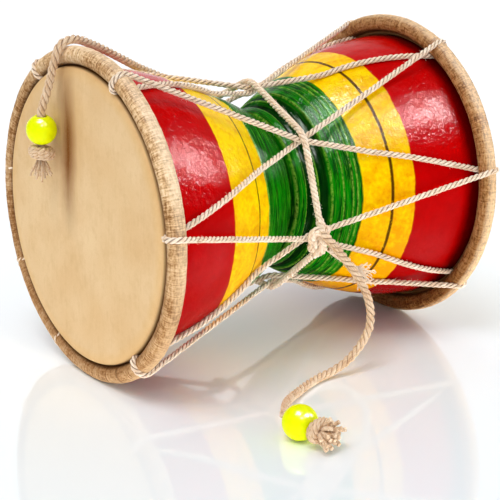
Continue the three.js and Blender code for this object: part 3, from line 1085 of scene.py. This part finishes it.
def headMaterial(head):
    bench = startMaterial("headHide")
    spot = bench.place()
    along, across, height = spot.split()
    broad = spot.cloud(0.035, 3.0, 0.55)
    mottle = spot.cloud(0.14, 4.0, 0.6)
    fibres = spot.vector("MULTIPLY", (0.5, 0.7, 0.1)).cloud(1.0, 4.0, 0.6)
    grain = spot.cloud(1.3)
    left = along.ease(1.0, -1.0)
    # painted shadow of the top striker cord and bead, with a softer brown edge round it
    streakAcross, streakHeight = head["streakAcross"] + (broad - 0.5) * 6, head["streakHeight"]
    streak = across.near(streakAcross, 4.6, 4.2) * height.near(streakHeight, 27.0, 19.0)
    shadowHalo = across.near(streakAcross - 3.0, 6.0, 7.0) * height.near(streakHeight + 9, 26.0, 20.0)
    warm = across.near(-3.0, 1.0, 9.0) * height.near(132.0, 4.0, 14.0)
    radius = bench.joined(0.0, across, height - drum["axisHeight"]).vector("LENGTH", output="Value")
    rim = (radius + (mottle - 0.5) * 6).ease(64.0, 70.5)
    base = bench.layered(
        head["face"],
        (broad.ease(0.34, 0.68), head["pale"]),
        ((mottle * 0.7 + fibres * 0.3).ease(0.46, 0.7) * 0.42, head["grain"]),
        (shadowHalo * left * 0.9, head["grain"]),
        (streak * left * (0.8 + fibres * 0.25), head["stain"]),
        (warm * left * 0.45, head["warm"]),
        (rim * 0.5, head["warm"]),
        # painted shade in the groove next to the hoop and on the lip behind it
        (radius.ease(70.2, 71.0) * 0.85, head["groove"]),
        (abs(along).ease(95.4, 94.2) * 0.85, head["groove"]),
        (grain.ease(0.5, 0.75) * 0.16, head["grain"]))
    bumps = fibres * 0.5 + grain * 0.25 + broad * 1.2
    return finishMaterial(bench, base, 0.5 + mottle * 0.16, bumps, 0.35, 0.4, Specular_IOR_Level=0.02)


headFinish = headMaterial(head)


def makeHead(name, side):
    def waver(spot, radius, angle):
        if radius < 69 and spot.x > drum["halfLength"] + 1:
            place = Vector((side * 7, radius * sin(angle), radius * cos(angle)))
            spot.x += head["waver"] * (noise.noise(place * 0.045) - 0.5)
        return Vector((spot.x * side, spot.y, spot.z))

    mesh = turnedMesh(name + "Head", headProfile(head), head["sides"], headFinish, waver)
    onDrum(placed(aim(mesh, (0, 0, drum["axisHeight"]))), name + "_skin")


makeHead("left", -1)
makeHead("right", 1)
print("heads made")


# Hoops, wrapped in hide.

hoop = {
    "dark": colour(130, 86, 46),
    "brown": colour(192, 148, 101),
    "tan": colour(229, 191, 144),
    # pale hide, also used for painted highlights
    "rubbed": colour(250, 226, 190),
    # dark brown for the seam line and for painted shade in the groove
    "groove": colour(84, 52, 26),
    "goldTint": (1.0, 0.8, 0.5),
    "lowTint": (0.68, 0.56, 0.44),
    "darkTint": (0.3, 0.19, 0.11),
    "seamDegrees": 157.0,  # on the left hoop
}

hoopSizes = {
    "Ring Radius": drum["hoopCentreRadius"],
    "Tube Radius": drum["hoopTubeRadius"],
    "Ring Steps": 520,
    "Tube Steps": 30,
    "Wrinkle Depth": 0.26,
    "Lump Depth": 0.7,
    "Seed": 1,
}


def hoopTree(sizes):
    bench, given = startShapes("hideHoop", sizes)
    ring = bench.circle(given["Ring Steps"], given["Ring Radius"] * millimetre)
    section = bench.circle(given["Tube Steps"], given["Tube Radius"] * millimetre)
    tube = ring.swept(section, False)
    spot = bench.position().scaled(1 / millimetre)
    ringwards = spot.vector("MULTIPLY", (1, 1, 0)).vector("NORMALIZE")
    shift = bench.joined(0.0, 0.0, given["Seed"] * 31.7)
    shifted = spot.scaled(0.11).vector("ADD", shift)
    wrinkleSpot = ringwards.scaled(46).vector("ADD", shifted)
    wrinkle = wrinkleSpot.cloud(1.0, 3.0, 0.6, 0.4)
    patches = ringwards.scaled(3.2).vector("ADD", shift).cloud(1.0)
    lump = spot.scaled(0.07).vector("ADD", shift).cloud(1.0)
    depth = (wrinkle - 0.5) * given["Wrinkle Depth"] * (0.35 + patches.ease(0.4, 0.65)) * 2
    depth = depth + (lump - 0.5) * given["Lump Depth"]
    normal = bench.make("GeometryNodeInputNormal")[0]
    return finishShapes(bench, tube.moved(normal.scaled(depth * millimetre)), given)


def hoopMaterial(hoop):
    bench = startMaterial("hoopHide")
    spot = bench.place().vector("SUBTRACT", (0, 0, drum["axisHeight"]))
    ringwards = spot.vector("MULTIPLY", (0, 1, 1)).vector("NORMALIZE")
    wrinkleSpot = ringwards.scaled(96).vector("ADD", spot.scaled(0.13))
    wrinkle = wrinkleSpot.cloud(1.0, 4.0, 0.62, 0.3)
    broad = spot.cloud(0.04, 4.0, 0.6)
    mottle = spot.cloud(0.8, 3.0, 0.65, 0.3)
    along, across, height = spot.split()
    reach = bench.joined(0.0, across, height).vector("LENGTH", output="Value")
    angle = (-across).maths("ARCTAN2", height) * (180 / pi)
    strokes = bench.joined(reach * 1.1, along * 1.1, angle * 0.3).cloud(1.0, 3.0, 0.6)
    tone = broad * 0.24 + mottle * 0.2 + wrinkle * 0.34 + strokes * 0.22
    base = tone.ramp((0.41, hoop["dark"]), (0.47, hoop["brown"]), (0.52, hoop["tan"]), (0.61, hoop["rubbed"]))
    outer = (abs(along) - drum["hoopPlane"]) / drum["hoopTubeRadius"]
    shellSide = (outer * -1 + (broad - 0.5) * 1.2).ease(0.1, 0.9)
    right = along.ease(-1.0, 1.0)
    left = 1 - right
    streaks = (strokes * 0.6 + mottle * 0.4).ease(0.5, 0.38) * right
    # painted shade on the right hoop's shell side, deepest low down
    shellSideShadeShare = 0.95 - height.ease(-60.0, 30.0) * 0.35
    # painted highlight on the hoop's outer crest
    crestHighlight = (reach + (broad - 0.5) * 2).ease(78.6, 80.0)
    # painted shade: the left hoop darker towards the bottom
    low = 1 - height.ease(-34.0, 24.0)
    # painted shade on the left hoop's inner side, next to the groove by the head
    inner = 1 - (reach + (mottle - 0.5) * 3).ease(73.0, 77.0)
    seam = (angle + (mottle - 0.5) * 2.4).near(hoop["seamDegrees"], 0.35, 0.5)
    # painted shade in the groove between the hoop and the head
    groove = 1 - (reach + (mottle - 0.5) * 1.6).ease(71.9, 73.0)
    base = bench.layered(
        base,
        # painted highlight along the left hoop's shell side
        (shellSide * left * 0.6, hoop["rubbed"]),
        (right * 0.8, hoop["goldTint"], "MULTIPLY"),
        (streaks * 0.6, hoop["dark"]),
        (shellSide * right * shellSideShadeShare, hoop["darkTint"], "MULTIPLY"),
        (crestHighlight * 0.34, hoop["rubbed"]),
        (low * left * 0.8, hoop["lowTint"], "MULTIPLY"),
        (inner * left * 0.55, hoop["dark"]),
        (seam * left * 0.75, hoop["groove"]),
        (groove * 0.85, hoop["groove"]))
    grain = spot.cloud(1.6)
    bumps = wrinkle * 0.7 + grain * 0.2 + mottle * 0.5
    return finishMaterial(bench, base, 0.4 + mottle * 0.25, bumps, 0.65, 0.85, Specular_IOR_Level=0.05)


hoopFinish = hoopMaterial(hoop)
hideHoop = hoopTree(hoopSizes)


def makeHoop(name, side, seed):
    piece = grown(meshOf(name + "Hoop", [(0, 0, 0)]), hideHoop, {**hoopSizes, "Seed": seed}, hoopFinish)
    turn = Matrix.Rotation(pi / 2, 4, "Y")
    place = Vector((side * drum["hoopPlane"], 0, drum["axisHeight"])) * millimetre
    piece.data.transform(Matrix.Translation(place) @ turn)
    onDrum(piece, name + "_hoop")


makeHoop("left", -1, 3)
makeHoop("right", 1, 7)
print("hoops made")


# Floor, lights and surroundings.

studio = {
    "floorHalf": 6.0,  # metres
    "floorTint": colour(240, 248, 255),
    "floorPale": colour(244, 251, 255),
    "floorGloss": 0.05,
    "skyDiffuse": 0.74,
    "skyGloss": 0.05,
    "backdrop": 1.3,  # what polished surfaces see behind the drum
    "sun": (-68, 66, 1.1, 28),  # azimuth, elevation, strength and the sun's width in degrees
    "boxes": [  # azimuth and elevation of each soft light, size in metres, power in watts
        (35, 47, 0.5, 0.42, 190.0),
        (6, 50, 0.25, 0.45, 60.0),
        (63, 30, 0.26, 0.62, 95.0),
        (-70, 74, 0.8, 0.8, 340.0),
        (-25, 45, 0.3, 0.3, 52.0),
    ],
    "distance": 1.6,
}


def makeFloor(studio):
    half = studio["floorHalf"]
    corners = [(-half, -half, 0), (half, -half, 0), (half, half, 0), (-half, half, 0)]
    mesh = bpy.data.meshes.new("floor")
    mesh.from_pydata(corners, [], [(0, 1, 2, 3)])
    bench = startMaterial("paleFloor")
    grain = bench.place().cloud(0.01, 2.0)
    base = bench.blend(grain, studio["floorTint"], studio["floorPale"])
    finish = finishMaterial(bench, base, studio["floorGloss"] + grain * 0.02, Specular_IOR_Level=0.55)
    mesh.materials.append(finish)
    placed(mesh)


def makeSky(studio):
    world = bpy.data.worlds.new("studio")
    world.use_nodes = True
    world.node_tree.nodes.clear()
    bench = Bench(world.node_tree)
    path = bench.make("ShaderNodeLightPath")
    ray = bench.make("ShaderNodeTexCoord")["Generated"]
    behind = Vector((sin(view["yaw"]), cos(view["yaw"]), 0.25)).normalized()
    facing = ray.vector("DOT_PRODUCT", behind, output="Value")
    gloss = studio["skyGloss"] + facing.ease(0.62, 0.86) * (studio["backdrop"] - studio["skyGloss"])
    diffuse = studio["skyDiffuse"] + path["Is Camera Ray"] * (1.0 - studio["skyDiffuse"])
    strength = diffuse + path["Is Glossy Ray"] * (gloss - studio["skyDiffuse"])
    sky = bench.make("ShaderNodeBackground", {"Color": (1, 0.997, 0.99, 1), "Strength": strength})
    bench.make("ShaderNodeOutputWorld", {"Surface": sky["Background"]})
    world.cycles.sampling_method = "NONE"  # so that Light Path sorts all of its light
    scene.world = world


def direction(azimuth, elevation):  # azimuth 0 is the front, where -Y is, and turns towards +X
    turn, rise = radians(azimuth), radians(elevation)
    return Vector((sin(turn) * cos(rise), -cos(turn) * cos(rise), sin(rise)))


def addLamp(name, kind, towards, distance):
    data = bpy.data.lights.new(name, kind)
    lamp = bpy.data.objects.new(name, data)
    lamp.location = towards * distance + Vector((0, 0, drum["axisHeight"] * millimetre))
    lamp.rotation_mode = "QUATERNION"
    lamp.rotation_quaternion = towards.to_track_quat("Z", "Y")
    scene.collection.objects.link(lamp)
    return lamp, data


def makeLights(studio):
    azimuth, elevation, strength, width = studio["sun"]
    lamp, data = addLamp("softSun", "SUN", direction(azimuth, elevation), 1.0)
    data.energy = strength
    data.angle = radians(width)
    lamp.visible_glossy = False
    for number, (azimuth, elevation, width, height, power) in enumerate(studio["boxes"]):
        towards = direction(azimuth, elevation)
        lamp, data = addLamp("softBox" + str(number), "AREA", towards, studio["distance"])
        data.shape = "RECTANGLE"
        data.size = width
        data.size_y = height
        data.energy = power
        lamp.visible_diffuse = False


makeFloor(studio)
makeSky(studio)
makeLights(studio)
scene.view_settings.view_transform = "Standard"
print("floor and lights placed")
